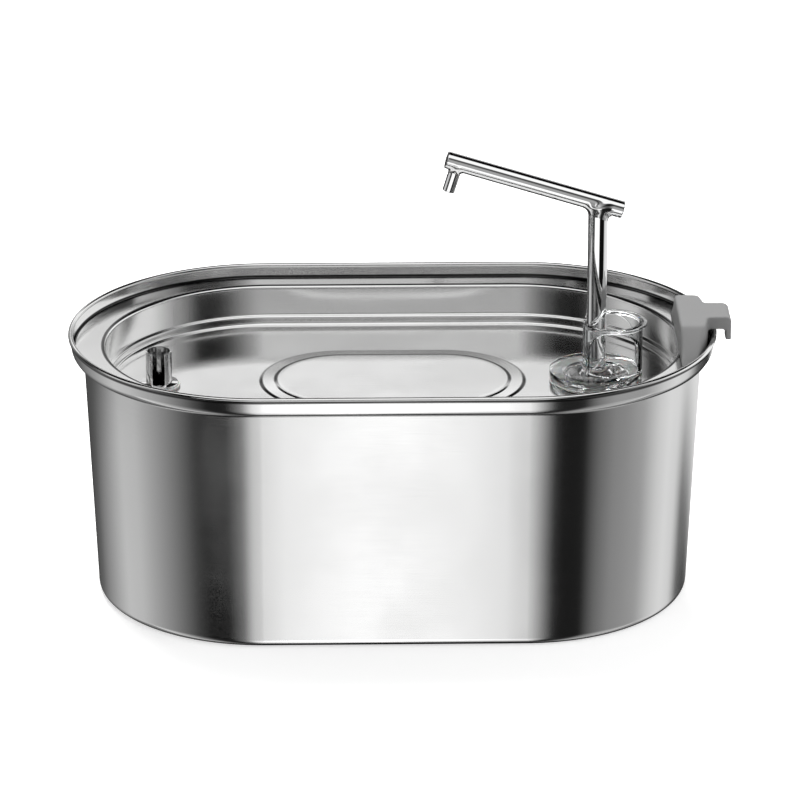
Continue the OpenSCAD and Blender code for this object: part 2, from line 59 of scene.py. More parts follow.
class Shade:
    """The value of one socket. A sum on it adds Math nodes to the tree it comes from."""

    def __init__(self, nodes, socket):
        self.nodes = nodes
        self.socket = socket

    def _math(self, operation, first, second):
        return self.nodes.add("ShaderNodeMath", {"operation": operation}, {0: first, 1: second})

    def __add__(self, other):
        return self._math("ADD", self, other)

    def __sub__(self, other):
        return self._math("SUBTRACT", self, other)

    def __rsub__(self, other):
        return self._math("SUBTRACT", other, self)

    def __mul__(self, other):
        return self._math("MULTIPLY", self, other)

    __radd__ = __add__
    __rmul__ = __mul__


class Nodes:
    """A node tree. The one way to add a node is its type, its settings and its sockets."""

    def __init__(self, tree):
        self.tree = tree

    def add(self, kind, settings=None, sockets=None, out=0):
        node = self.tree.nodes.new(kind)
        for key, value in (settings or {}).items():
            if key == "stops":
                ramp = node.color_ramp
                while len(ramp.elements) < len(value):
                    ramp.elements.new(0.5)
                for element, (place, grey) in zip(ramp.elements, value):
                    element.position = place
                    element.color = grey if isinstance(grey, tuple) else (grey, grey, grey, 1)
            else:
                setattr(node, key, value)
        for key, value in (sockets or {}).items():
            if isinstance(value, Shade):
                self.tree.links.new(value.socket, node.inputs[key])
            else:
                node.inputs[key].default_value = value
        return Shade(self, node.outputs[out])

    def spread(self, value, low, high, out_low, out_high):
        """Goes softly from one level to the other while the value goes from low to high."""
        return self.add("ShaderNodeMapRange", {"interpolation_type": "SMOOTHSTEP"}, {
            "Value": value, "From Min": low, "From Max": high,
            "To Min": out_low, "To Max": out_high})

    def blend(self, amount, first, second, how="MIX"):
        """The first colour where the amount is 0, the second where it is 1."""
        return self.add("ShaderNodeMix", {"data_type": "RGBA", "blend_type": how},
                        {0: amount, 6: first, 7: second}, out=2)


class Finish(Nodes):
    """A Principled material. Sockets that stay the same all over are set here."""

    def __init__(self, name, **same):
        self.material = bpy.data.materials.new(name)
        self.material.use_nodes = True
        super().__init__(self.material.node_tree)
        self.shader = self.tree.nodes["Principled BSDF"]
        for key, value in same.items():
            self.shader.inputs[key.replace("_", " ")].default_value = value

    def place(self, scale=(1, 1, 1), turn=(0, 0, 0)):
        """Where a point lies on the piece, stretched and turned for a pattern."""
        spot = self.add("ShaderNodeTexCoord", out="Object")
        return self.add("ShaderNodeMapping", None, {
            "Vector": spot, "Scale": scale, "Rotation": turn})

    def axes(self):
        """A point's x, y and z on the piece."""
        node = self.add("ShaderNodeSeparateXYZ", None, {0: self.place()}).socket.node
        return [Shade(self, socket) for socket in node.outputs]

    def noise(self, scale, detail=3.0, stretch=(1, 1, 1), rough=0.5):
        """A fine random pattern, more features a metre the larger the scale."""
        return self.add("ShaderNodeTexNoise", None, {
            "Vector": self.place(stretch), "Scale": scale, "Detail": detail, "Roughness": rough})

    def vary(self, grain, low, high):
        """The middle part of a noise, spread between two levels."""
        return self.spread(grain, 0.3, 0.7, low, high)

    def drive(self, **varying):
        """Links what changes over the surface to the shader."""
        for key, value in varying.items():
            self.tree.links.new(value.socket, self.shader.inputs[key.replace("_", " ")])
        return self

    def out_from(self, half):
        """Distance out from the line between two end axes and past the nearer one, and height."""
        x, y, z = self.axes()
        past = self.add("ShaderNodeMath", {"operation": "ABSOLUTE"}, {0: x}) - half
        past = self.add("ShaderNodeMath", {"operation": "MAXIMUM"}, {0: past, 1: 0.0})
        far = self.add("ShaderNodeMath", {"operation": "POWER"}, {0: past * past + y * y, 1: 0.5})
        return far, past, z

    def line(self, value, middle, half):
        """1 where the value is at the middle of a thin line, 0 beside it."""
        return (self.spread(value, middle - half, middle - half / 3, 0.0, 1.0)
                * self.spread(value, middle + half / 3, middle + half, 1.0, 0.0))

    def relief(self, height, depth):
        """Fine relief, as deep as that in metres."""
        self.drive(Normal=self.add("ShaderNodeBump", None, {
            "Height": height, "Distance": depth, "Strength": 1.0}))


def bend(centre, radius, start, stop, steps=8):
    """Points of a bend in an (r, z) profile, from start to stop in degrees."""
    turns = np.radians(np.linspace(start, stop, steps + 1))
    return [(centre[0] + radius * math.cos(a), centre[1] + radius * math.sin(a)) for a in turns]


def guarded(path):
    """The path with a point near both ends of each straight, so that bends don't shade it."""
    out = [tuple(path[0])]
    for p, q in zip(np.array(path[:-1], float), np.array(path[1:], float)):
        run = np.linalg.norm(q - p)
        if run > 4 * GUARD:
            step = (q - p) * GUARD / run
            out += [tuple(p + step), tuple(q - step)]
        out.append(tuple(q))
    return out


def beside(path, gap):
    """The path moved to its left by gap, with mitred corners."""
    p = np.array(path, float)
    d = np.diff(p, axis=0)
    d /= np.linalg.norm(d, axis=1)[:, None]
    n = np.stack([-d[:, 1], d[:, 0]], 1)
    before, after = np.vstack([n[:1], n]), np.vstack([n, n[-1:]])
    mitre = (before + after) / (1 + (before * after).sum(1))[:, None]
    return [tuple(q) for q in p + gap * mitre]


def oval_ring(half, r, z):
    """A ring round an oval with full-round ends, r out from its two end axes."""
    turn = np.radians(np.linspace(-90, 90, ROUND_STEPS + 1))
    right = np.stack([half + r * np.cos(turn), r * np.sin(turn)], 1)
    run = np.linspace(half, -half, STRAIGHT_STEPS + 1)[1:-1]
    back = np.stack([run, np.full_like(run, r)], 1)
    plan = np.vstack([right, back, -right, -back])
    return [(x, y, z) for x, y in plan]


class Skin:
    """Points and faces of one piece while it is laid up, in millimetres."""

    def __init__(self):
        self.points = []
        self.faces = []

    def ring(self, points):
        """Adds a ring's points and tells their numbers."""
        first = len(self.points)
        self.points += [tuple(p) for p in points]
        return list(range(first, len(self.points)))

    def band(self, one, two):
        """Faces between two rings of as many points."""
        for i in range(len(one)):
            j = (i + 1) % len(one)
            self.faces.append((one[i], one[j], two[j], two[i]))

    def bands(self, rings):
        """Faces all along a row of rings."""
        for one, two in zip(rings, rings[1:]):
            self.band(one, two)

    def mesh(self, name):
        """One closed mesh in metres, its faces turned outwards."""
        data = bpy.data.meshes.new(name)
        data.from_pydata([[c * MM for c in p] for p in self.points], [], self.faces)
        bm = bmesh.new()
        bm.from_mesh(data)
        bmesh.ops.remove_doubles(bm, verts=bm.verts, dist=WELD * MM)
        bmesh.ops.recalc_face_normals(bm, faces=bm.faces)
        bm.to_mesh(data)
        bm.free()
        return data


def smooth(data, degrees=34):
    """Shades a mesh smooth, with edges sharper than that left crisp."""
    bm = bmesh.new()
    bm.from_mesh(data)
    limit = math.radians(degrees)
    for face in bm.faces:
        face.smooth = True
    for edge in bm.edges:
        edge.smooth = len(edge.link_faces) == 2 and edge.calc_face_angle(0) < limit
    bm.to_mesh(data)
    bm.free()


def shown(name, data, finish, degrees=34):
    """Puts a mesh in the scene as a piece with its one finish."""
    smooth(data, degrees)
    data.materials.clear()
    data.materials.append(finish.material)
    piece = bpy.data.objects.new(name, data)
    bpy.context.scene.collection.objects.link(piece)
    return piece


def fitted(piece, body, slot, *nodes):
    """The piece rides on its body and stands for its nodes."""
    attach(piece, body)
    if nodes:
        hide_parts(*nodes)


# Painted shade lines, in metres: the middle and half the width of each, and where each fades.
SHADED = (0.02, 0.02, 0.02, 1)
FLANGE_SEAM = (0.1165, 0.0008)
INNER_FACE = (0.0852, 0.0854)
COLLAR_CREASE = (0.1125, 0.0011)
ROUND_END = (0.0, 0.03)
BEAD_CREASE = (0.1207, 0.0012)
OUTER_FACE = (0.0858, 0.086)
SATIN = (60, 60, 2600)

tub_steel = Finish("tub_steel", Metallic=1.0)
rub = tub_steel.noise(1.0, 2.0, SATIN)
haze = tub_steel.noise(22.0, 4.0)
tub_out, tub_past, tub_height = tub_steel.out_from(END_AXIS * MM)
# Painted shade: a dark line where the tray's flange lies in the collar, a dark line under the
# collar's foot along the straights, and one under the rolled bead.
flange_gap_shade = (tub_steel.line(tub_height, *FLANGE_SEAM)
        * tub_steel.spread(tub_out, *INNER_FACE, 1.0, 0.0))
crease_shade = (tub_steel.line(tub_height, *COLLAR_CREASE)
          * tub_steel.spread(tub_past, *ROUND_END, 0.9, 0.0)
          + tub_steel.line(tub_height, *BEAD_CREASE)
          * tub_steel.spread(tub_out, *OUTER_FACE, 0.0, 0.9))
bright = tub_steel.blend(haze, (0.80, 0.80, 0.80, 1), (0.86, 0.86, 0.855, 1))
tub_steel.drive(
    Base_Color=tub_steel.blend(flange_gap_shade + crease_shade, bright, SHADED),
    Roughness=tub_steel.vary(haze, 0.085, 0.12) + rub * 0.03,
).relief(rub, 0.000004)

BOTTOM_EDGE = 58.0
WALL_FOOT = 75.6
WALL_TOP = (80.2, 112.0)
wall_lean = math.degrees(math.atan((WALL_TOP[0] - WALL_FOOT) / WALL_TOP[1]))
FOOT_BEND = 4.0
CREASE = 0.7
COLLAR_BEND = 5.0
COLLAR_AXIS = (WALL_TOP[0] + 0.5, WALL_TOP[1] + COLLAR_BEND)
BEAD = 1.1
BEAD_AXIS = (85.9, 121.5)
COLLAR_TOP = (86.36, 120.5)
outside = guarded(
    [(BOTTOM_EDGE, 0.0)]
    + bend((WALL_FOOT - FOOT_BEND, FOOT_BEND), FOOT_BEND, -90, -wall_lean, 10)
    + bend((WALL_TOP[0] + CREASE - 0.03, WALL_TOP[1] - CREASE), CREASE, 180 - wall_lean, 92, 6)
    + bend(COLLAR_AXIS, COLLAR_BEND, -84, -10, 10)
    + [COLLAR_TOP]
)
inside = beside(outside, SHEET)
hem = bend(BEAD_AXIS, BEAD, -63, 252, 26)
tub_skin = Skin()
tub_rings = [tub_skin.ring(oval_ring(END_AXIS, r, z)) for r, z in outside + hem + inside[::-1]]
tub_skin.bands(tub_rings)
tub_skin.faces += [tuple(tub_rings[0]), tuple(tub_rings[-1])]
tub = shown("tub_shell", tub_skin.mesh("tub_shell"), tub_steel, 50)
fitted(tub, "tub", "polished_steel", "tub")

# --- Drinking tray ----------------------------------------------------------------------
# A second pressing that hangs in the collar: a flat flange, a shallow well with a small ledge
# at its foot, and a raised oval that stiffens the floor. Two round holes take the overflow's
# grommet and the outlet seat, and a notch at the right end clears the cable clip's foot.
WELL_AXIS = 55.2
FLOOR_Z = 97.6
FLANGE_Z = 116.0
PAD_AXIS = 22.5
FLANGE_OUT = 84.4
SEAT_HOLE = (91.2, 0.0, 14.0)
GROMMET_HOLE = (-104.6, -6.0, 7.5)
NOTCH_X = 126.9
NOTCH_Y = 34.4
NOTCH_R = 75.1
RISE = 0.8
PAD_EDGE = (0.0299, 0.0011)
PAD_FOOT = (0.0366, 0.0012)
WELL_LIP = (0.0745, 0.0010)
FLANGE_EDGE_SHADE = (0.0836, 0.0839)

tray_steel = Finish("tray_steel", Metallic=1.0)
tray_rub = tray_steel.noise(1.0, 2.0, SATIN)
tray_haze = tray_steel.noise(26.0, 4.0)
tray_swirl = tray_steel.noise(1.0, 2.0, (40, 900, 40))
rim_out = tray_steel.out_from(END_AXIS * MM)[0]
well_out = tray_steel.out_from(WELL_AXIS * MM)[0]
pad_out, pad_past, _ = tray_steel.out_from(PAD_AXIS * MM)
to_back = tray_steel.axes()[1]
# Painted shade: dark lines at the raised oval's step, mostly on the back half, at its foot, mostly
# on the front half, and at the well's lip.
tray_shade_lines = (tray_steel.line(pad_out, *PAD_EDGE)
         * tray_steel.spread(pad_past, 0.0, 0.02, 0.7, 1.0)
         * tray_steel.spread(to_back, -0.012, 0.0, 0.2, 1.0)
         + tray_steel.line(pad_out, *PAD_FOOT)
         * tray_steel.spread(to_back, -0.002, 0.010, 1.0, 0.1)
         + tray_steel.line(well_out, *WELL_LIP) * 0.95)
tray_bright = tray_steel.blend(tray_haze, (0.82, 0.82, 0.82, 1), (0.87, 0.87, 0.865, 1))
# Painted shade: the flange's outer edge, where it lies in the tub's collar, is dark.
tray_steel.drive(
    Base_Color=tray_steel.blend(tray_steel.spread(rim_out, *FLANGE_EDGE_SHADE, 0.0, 1.0) + tray_shade_lines,
                                tray_bright, SHADED),
    Roughness=tray_steel.vary(tray_haze, 0.10, 0.15) + tray_swirl * 0.03,
).relief(tray_rub + tray_swirl * 0.6, 0.000004)


def circle(x, y, r, z, steps=64, start=0.0, stop=360.0):
    """Points of a circle or of a part of one, in degrees."""
    turns = np.radians(np.linspace(start, stop, steps, endpoint=stop - start < 360.0))
    return [(x + r * math.cos(a), y + r * math.sin(a), z) for a in turns]


def filled(data, heights):
    """Fills the flat regions that open edges bound at these heights, holes left open."""
    bm = bmesh.new()
    bm.from_mesh(data)
    for z, groups in heights:
        edges = []
        for ring in groups:
            verts = [bm.verts.new([c * MM for c in p]) for p in ring]
            edges += [bm.edges.new((a, b)) for a, b in zip(verts, verts[1:] + verts[:1])]
        bmesh.ops.triangle_fill(bm, use_beauty=True, edges=edges, normal=(0, 0, 1))
    bmesh.ops.remove_doubles(bm, verts=bm.verts, dist=WELD * MM)
    bmesh.ops.recalc_face_normals(bm, faces=bm.faces)
    bm.to_mesh(data)
    bm.free()
    return data


# From the floor out: the foot's bend, the ledge's edge, its inner corner, and the lip's bend.
well = guarded(
    [(66.0, FLOOR_Z)]
    + bend((70.3, FLOOR_Z + 1.2), 1.2, -90, 4, 8)
    + bend((72.2, FLOOR_Z + 3.2), 0.9, 178, 90, 6)
    + bend((72.4, FLOOR_Z + 4.7), 0.6, -90, -3.5, 6)
    + bend((74.6, FLANGE_Z - 1.5), 1.5, 176.5, 90, 8)
    + [(74.95, FLANGE_Z)]
)
# How far out from its axes the raised oval has which rise: top, step and foot.
pad = [(r, FLOOR_Z + z) for r, z in (
    (27.0, RISE), (29.9, RISE), (30.2, RISE - 0.03), (30.8, 0.43), (31.1, 0.4), (36.0, 0.4),
    (36.3, 0.37), (36.9, 0.03), (37.2, 0.0), (37.6, 0.0))]
pad_back = [(27.0, FLOOR_Z + RISE - SHEET), (30.5, FLOOR_Z + RISE - SHEET),
            (36.5, FLOOR_Z - SHEET), (37.6, FLOOR_Z - SHEET)]
tongue = math.degrees(math.acos((NOTCH_X - WELL_AXIS) / NOTCH_R))
corner_x = END_AXIS + FLANGE_OUT * math.cos(math.asin(NOTCH_Y / FLANGE_OUT))


def flange_edge(z):
    """The flange's outline at one height, with the notch for the clip."""
    rim = [p for p in oval_ring(END_AXIS, FLANGE_OUT, z)
           if not (p[0] > END_AXIS and abs(p[1]) < NOTCH_Y)]
    first = next(i for i, p in enumerate(rim) if p[0] > END_AXIS and p[1] > 0)
    return (rim[first:] + rim[:first]
            + [(corner_x, -NOTCH_Y, z), (NOTCH_X, -NOTCH_Y, z)]
            + circle(WELL_AXIS, 0, NOTCH_R, z, 24, -tongue, tongue)
            + [(NOTCH_X, NOTCH_Y, z), (corner_x, NOTCH_Y, z)])


tray_skin = Skin()
well_faces = well, beside(well, -SHEET)
pad_faces = pad, pad_back
flats = []
for wall, oval, drop in zip(well_faces, pad_faces, (0, SHEET)):
    tray_skin.bands([tray_skin.ring(oval_ring(WELL_AXIS, r, z)) for r, z in wall])
    oval_rings = [tray_skin.ring(oval_ring(PAD_AXIS, r, z)) for r, z in oval]
    tray_skin.bands(oval_rings)
    tray_skin.faces.append(tuple(oval_rings[0]))
    flats.append((FLOOR_Z - drop, [
        oval_ring(WELL_AXIS, *wall[0]), oval_ring(PAD_AXIS, *oval[-1]),
        circle(*SEAT_HOLE, FLOOR_Z - drop), circle(*GROMMET_HOLE, FLOOR_Z - drop, 48)]))
    flats.append((FLANGE_Z - drop, [oval_ring(WELL_AXIS, *wall[-1]), flange_edge(FLANGE_Z - drop)]))
(_, top_floor), (_, top_flange), (_, low_floor), (_, low_flange) = flats
for upper, lower in zip(top_floor[2:] + top_flange[1:], low_floor[2:] + low_flange[1:]):
    tray_skin.band(tray_skin.ring(upper), tray_skin.ring(lower))
tray_data = filled(tray_skin.mesh("tray"), flats)
tray = shown("drinking_tray_sheet", tray_data, tray_steel)
fitted(tray, "tray", "polished_steel", "drinking_tray")

# --- Overflow pipe and grommet ----------------------------------------------------------
# A short steel standpipe, slotted down the front so that it sets the pool's height while the
# pump runs and empties the well when it stops. A white silicone grommet holds it in the floor.
PIPE_BORE = (0.0052, 0.0056)
COPY_WELD = 0.003
SAME_FLAT = 0.6
CRISP = 38

pipe_steel = Finish("pipe_steel", Metallic=1.0)
pipe_haze = pipe_steel.noise(120.0, 3.0)
from_axis = pipe_steel.add("ShaderNodeVectorMath", {"operation": "DISTANCE"}, {
    0: pipe_steel.place((1, 1, 0)), 1: (GROMMET_HOLE[0] * MM, GROMMET_HOLE[1] * MM, 0)},
    out="Value")
pipe_bright = pipe_steel.blend(pipe_haze, (0.80, 0.80, 0.80, 1), (0.86, 0.86, 0.86, 1))
# Painted shade: the inside of the bore is a darker grey than the outside.
pipe_steel.drive(
    Base_Color=pipe_steel.blend(pipe_steel.spread(from_axis, *PIPE_BORE, 0.0, 1.0),
                                (0.5, 0.5, 0.5, 1), pipe_bright),
    Roughness=pipe_steel.vary(pipe_haze, 0.07, 0.13),
)


def applied(piece):
    """The piece with its modifiers made part of its mesh."""
    graph = bpy.context.evaluated_depsgraph_get()
    data = bpy.data.meshes.new_from_object(piece.evaluated_get(graph))
    piece.modifiers.clear()
    piece.data = data
    return piece


def eased(node, name, finish, edge, steps=2, degrees=30):
    """A copy of a made part with its edges eased by a small radius, in millimetres."""
    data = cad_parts[node].data.copy()
    data.name = name
    bm = bmesh.new()
    bm.from_mesh(data)
    bmesh.ops.remove_doubles(bm, verts=bm.verts, dist=COPY_WELD * MM)
    bmesh.ops.dissolve_limit(
        bm, angle_limit=math.radians(SAME_FLAT), verts=bm.verts, edges=bm.edges, delimit=set())
    bm.to_mesh(data)
    bm.free()
    if data.has_custom_normals:
        data.attributes.remove(data.attributes["custom_normal"])
    piece = shown(name, data, finish)
    ease = piece.modifiers.new("ease", "BEVEL")
    ease.width = edge * MM
    ease.segments = steps
    ease.limit_method = "ANGLE"
    ease.angle_limit = math.radians(degrees)
    ease.use_clamp_overlap = True
    ease.miter_outer = "MITER_ARC"
    applied(piece)
    smooth(piece.data, CRISP)
    return piece


def fitted_copy(node, name, finish, edge, body, slot, steps=2, degrees=30):
    """An eased copy of a made part that rides on its body and stands for its node."""
    fitted(eased(node, name, finish, edge, steps, degrees), body, slot, node)


fitted_copy("overflow_pipe", "overflow_standpipe", pipe_steel, 0.15,
            "overflow", "polished_steel")

silicone = Finish("white_silicone", Subsurface_Weight=0.15, Subsurface_Scale=0.002,
                  IOR=1.41, Specular_IOR_Level=0.4)
dust = silicone.noise(160.0, 4.0)
silicone.drive(
    Base_Color=silicone.blend(dust, (0.44, 0.44, 0.43, 1), (0.52, 0.52, 0.51, 1)),
    Roughness=silicone.vary(dust, 0.42, 0.56),
).relief(dust, 0.00002)
fitted_copy("overflow_grommet", "overflow_grommet_ring", silicone, 0.3,
            "tray", "white_silicone")

# --- Outlet seat, cup, gasket, sleeve and riser -----------------------------------------
# Moulded in clear acrylic: a thick disc that plugs into the tray's hole, with a socket below
# for the riser hose, and a cup welded on top whose arched windows let the water run out. A
# silicone gasket seals the hole, and a silicone sleeve grips the faucet's foot.
acrylic = Finish("clear_acrylic", Transmission_Weight=1.0, IOR=1.49,
                 Base_Color=(0.98, 0.99, 0.99, 1))
flow = acrylic.noise(70.0, 3.0)
acrylic.drive(Roughness=acrylic.vary(flow, 0.0, 0.04)).relief(flow, 0.00012)
fitted_copy("outlet_seat", "outlet_seat_clear", acrylic, 0.5, "seat", "clear_plastic", 4, 40)

# The cup in millimetres: its wall and lip, the arches, how round each edge is, and how fine
# the mesh is drawn.
STEM = SEAT_HOLE[:2]
STEM_R = 4.4
SEAT_TOP = FLOOR_Z + 4.8
CUP_X, CUP_R, CUP_WALL, CUP_H = 98.6, 13.4, 1.4, 22.8
LIP_OUT, LIP_H = 2.2, 1.3
LIP_CUT = STEM[0] - STEM_R - CUP_X
ARCH_R, ARCH_FOOT, ARCH_BRIDGE = 10.5, 0.8, 0.4
ARCH_SPRING = CUP_H - LIP_H - ARCH_BRIDGE - ARCH_R
SLEEVE_CLEAR = 5.3
WALL_EASE, LIP_EASE, LIP_FILLET, ARCH_EASE, CLEAR_EASE = 0.3, 0.6, 0.8, 1.1, 0.5
CUP_VOXEL = 0.3
SLOPE_STEP = 0.02
DRAWS, DRAW_SHARE = 8, 0.9
SKIN_GAP = 0.01
SAME_WAY = 0.85


def rounder(first, second, edge):
    """The larger of two distances, eased where they meet."""
    near = np.maximum(edge - np.abs(first - second), 0) / edge
    return np.maximum(first, second) + near * near * edge / 4


def ring_box(r, z, r_low, r_high, z_low, z_high, edge):
    """Distance to a ring of rectangular section with eased corners."""
    out = np.abs(r - (r_low + r_high) / 2) - ((r_high - r_low) / 2 - edge)
    end = np.abs(z - (z_low + z_high) / 2) - ((z_high - z_low) / 2 - edge)
    far = np.hypot(np.maximum(out, 0), np.maximum(end, 0))
    return far + np.minimum(np.maximum(out, end), 0) - edge


def cup_shape(points):
    """Distance to the cup: wall and lip, less the arches and the notch round the stem."""
    x, y, z = (points - np.array([CUP_X, 0.0, SEAT_TOP])).T
    r = np.hypot(x, y)
    wall = ring_box(r, z, CUP_R - CUP_WALL, CUP_R, 0.0, CUP_H, WALL_EASE)
    lip = ring_box(r, z, CUP_R - CUP_WALL, CUP_R + LIP_OUT, CUP_H - LIP_H, CUP_H, LIP_EASE)
    lip = rounder(lip, LIP_CUT - x, LIP_EASE)
    far_x = np.abs(x) - ARCH_R
    below = ARCH_SPRING - z
    arch = np.where(below > 0, np.maximum(far_x, ARCH_FOOT - z), np.hypot(x, below) - ARCH_R)
    body = -rounder(-wall, -lip, LIP_FILLET)
    body = rounder(body, -arch, ARCH_EASE)
    return rounder(body, SLEEVE_CLEAR - np.hypot(x + CUP_X - STEM[0], y), CLEAR_EASE)


def slope(shape, points):
    """Outward direction of a shape's surface at points."""
    rise = np.stack([shape(points + a) - shape(points - a) for a in np.eye(3) * SLOPE_STEP], 1)
    return rise / np.maximum(np.linalg.norm(rise, axis=1), 1e-9)[:, None]


def spots_of(data):
    """A mesh's points in millimetres."""
    spots = np.zeros(len(data.vertices) * 3)
    data.vertices.foreach_get("co", spots)
    return spots.reshape(-1, 3) / MM


def remeshed(piece, voxel):
    """The piece in an even mesh of about one size of face."""
    weld = piece.modifiers.new("weld", "REMESH")
    weld.mode = "VOXEL"
    weld.voxel_size = voxel * MM
    return applied(piece)


def drawn(piece, shape, voxel):
    """The piece meshed afresh and drawn onto the shape."""
    spots = spots_of(remeshed(piece, voxel).data)
    for _ in range(DRAWS):
        spots = spots - DRAW_SHARE * shape(spots)[:, None] * slope(shape, spots)
    piece.data.vertices.foreach_set("co", (spots * MM).ravel())
    piece.data.update()
    return piece


def fair(piece, shape):
    """Gives the corners on the shape's own surface its exact directions."""
    data = piece.data
    spots = spots_of(data)
    on_skin = np.abs(shape(spots)) < SKIN_GAP
    directions = slope(shape, spots)
    at = np.zeros(len(data.loops), int)
    data.loops.foreach_get("vertex_index", at)
    normals = np.zeros(len(data.loops) * 3)
    data.corner_normals.foreach_get("vector", normals)
    normals = normals.reshape(-1, 3)
    smooth_part = on_skin[at] & ((normals * directions[at]).sum(1) > SAME_WAY)
    normals[smooth_part] = directions[at][smooth_part]
    data.normals_split_custom_set(normals.tolist())


cup = shown("clear_cup_wall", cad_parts["clear_cup"].data.copy(), acrylic)
fair(drawn(cup, cup_shape, CUP_VOXEL), cup_shape)
fitted(cup, "seat", "clear_plastic", "clear_cup")
fitted_copy("seat_gasket", "seat_gasket_ring", silicone, 0.2, "seat", "white_silicone")
fitted_copy("riser_tube", "riser_hose", silicone, 0.3, "seat", "white_silicone")
fitted_copy("swivel_sleeve", "swivel_sleeve_grip", silicone, 0.25, "sleeve", "white_silicone")

# --- Faucet -----------------------------------------------------------------------------
# A brass stem, arm and nozzle, brazed together with a soft fillet at each joint, polished and
# chrome plated. The arm's two ends are closed by pressed-in plugs, and two O-rings in grooves
# seal the stem's foot.
ARM_Z = 181.0
STEM_FOOT, STEM_TOP = 87.0, ARM_Z - 1.2
ARM_TILT = math.radians(17.0)
ARM_BACK, ARM_FRONT = -11.5, 70.5
NOZZLE_AT = 65.4
NOZZLE_END = 13.8
ARM_R, NOZZLE_R = 3.9, 2.75
ARM_BRAZE, NOZZLE_BRAZE = 3.4, 1.6
STEM_BORE, NOZZLE_BORE, PLUG_BORE = 2.6, 1.8, 2.9
BORE_PAST = 2.0
STEM_BORED = (80.0, 150.0)
NOZZLE_BORED = (2.0, NOZZLE_END + BORE_PAST)
PLUG_DEEP = 1.6
BAR_EASE = 0.35
BAR_SIDES = 48
FAUCET_VOXEL = 0.42
UP = np.array([0.0, 0.0, 1.0])
along_arm = np.array([-math.cos(ARM_TILT), 0.0, math.sin(ARM_TILT)])
below_arm = np.array([-math.sin(ARM_TILT), 0.0, -math.cos(ARM_TILT)])
stem_axis = np.array([*STEM, 0.0])
arm_mid = np.array([*STEM, ARM_Z])
nozzle_top = arm_mid + NOZZLE_AT * along_arm

chrome = Finish("chrome_plate", Metallic=1.0)
ripple = chrome.noise(35.0, 2.0)
chrome.drive(
    Base_Color=chrome.blend(ripple, (0.87, 0.875, 0.88, 1), (0.91, 0.91, 0.91, 1)),
    Roughness=chrome.vary(ripple, 0.03, 0.06),
)


def rod(points, base, axis, low, high, radius):
    """Distance from points to a round bar with eased ends."""
    rel = points - base
    h = rel @ axis
    r = np.linalg.norm(rel - h[:, None] * axis, axis=1)
    return ring_box(r, h, -radius, radius, low, high, BAR_EASE)


def brazed(points):
    """Distance to the joined stem, arm and nozzle, with fillets where they meet."""
    near = rod(points, stem_axis, UP, STEM_FOOT, STEM_TOP, STEM_R)
    for far, fillet in (
            (rod(points, arm_mid, along_arm, ARM_BACK, ARM_FRONT, ARM_R), ARM_BRAZE),
            (rod(points, nozzle_top, below_arm, 0.0, NOZZLE_END, NOZZLE_R), NOZZLE_BRAZE)):
        share = np.clip(0.5 + 0.5 * (near - far) / fillet, 0, 1)
        near = near * (1 - share) + far * share - fillet * share * (1 - share)
    return near


def bar(base, axis, low, high, radius):
    """A plain closed bar, as a mesh in metres."""
    bm = bmesh.new()
    bmesh.ops.create_cone(bm, cap_ends=True, segments=BAR_SIDES, radius1=radius * MM,
                          radius2=radius * MM, depth=(high - low) * MM)
    turn = Vector((0, 0, 1)).rotation_difference(Vector(axis)).to_matrix().to_4x4()
    middle = Vector(base) + Vector(axis) * (low + high) / 2
    bm.transform(Matrix.Translation(middle * MM) @ turn)
    data = bpy.data.meshes.new("bar")
    bm.to_mesh(data)
    bm.free()
    return data


def joined(name, parts, finish):
    """A piece made of several meshes that still overlap."""
    bm = bmesh.new()
    for data in parts:
        bm.from_mesh(data)
    data = bpy.data.meshes.new(name)
    bm.to_mesh(data)
    bm.free()
    return shown(name, data, finish)


faucet = joined("faucet_brazed", [
    bar(stem_axis, UP, STEM_FOOT, ARM_Z, STEM_R),
    bar(arm_mid, along_arm, ARM_BACK, ARM_FRONT, ARM_R),
    bar(nozzle_top, below_arm, 0.0, NOZZLE_END, NOZZLE_R),
], chrome)
drawn(faucet, brazed, FAUCET_VOXEL)


def bored(piece, cutters):
    """The piece with bars cut out of it."""
    for data in cutters:
        tool = bpy.data.objects.new("bore_tool", data)
        bpy.context.scene.collection.objects.link(tool)
        bore = piece.modifiers.new("bore", "BOOLEAN")
        bore.operation = "DIFFERENCE"
        bore.solver = "EXACT"
        bore.object = tool
        applied(piece)
        bpy.data.objects.remove(tool)


bored(faucet, [
    bar(stem_axis, UP, *STEM_BORED, STEM_BORE),
    bar(nozzle_top, below_arm, *NOZZLE_BORED, NOZZLE_BORE),
    bar(arm_mid, along_arm, ARM_FRONT - PLUG_DEEP, ARM_FRONT + BORE_PAST, PLUG_BORE),
    bar(arm_mid, along_arm, ARM_BACK - BORE_PAST, ARM_BACK + PLUG_DEEP, PLUG_BORE),
])
smooth(faucet.data, 40)
fair(faucet, brazed)
fitted(faucet, "faucet", "chrome", "faucet_stem", "faucet_arm", "spout_nozzle")

plug_resin = Finish("plug_resin", IOR=1.5)
plug_grain = plug_resin.noise(400.0, 3.0)
plug_resin.drive(
    Base_Color=plug_resin.blend(plug_grain, (0.015, 0.015, 0.016, 1), (0.03, 0.03, 0.031, 1)),
    Roughness=plug_resin.vary(plug_grain, 0.3, 0.45),
)
fitted_copy("arm_end_plugs", "arm_plugs", plug_resin, 0.2, "faucet", "plug_plastic")

rubber = Finish("black_rubber", IOR=1.5, Specular_IOR_Level=0.35)
bloom = rubber.noise(300.0, 4.0)
rubber.drive(
    Base_Color=rubber.blend(bloom, (0.018, 0.018, 0.018, 1), (0.035, 0.035, 0.034, 1)),
    Roughness=rubber.vary(bloom, 0.5, 0.68),
).relief(bloom, 0.00002)
fitted_copy("stem_o_rings", "stem_seal_rings", rubber, 0.05, "faucet", "black_rubber")

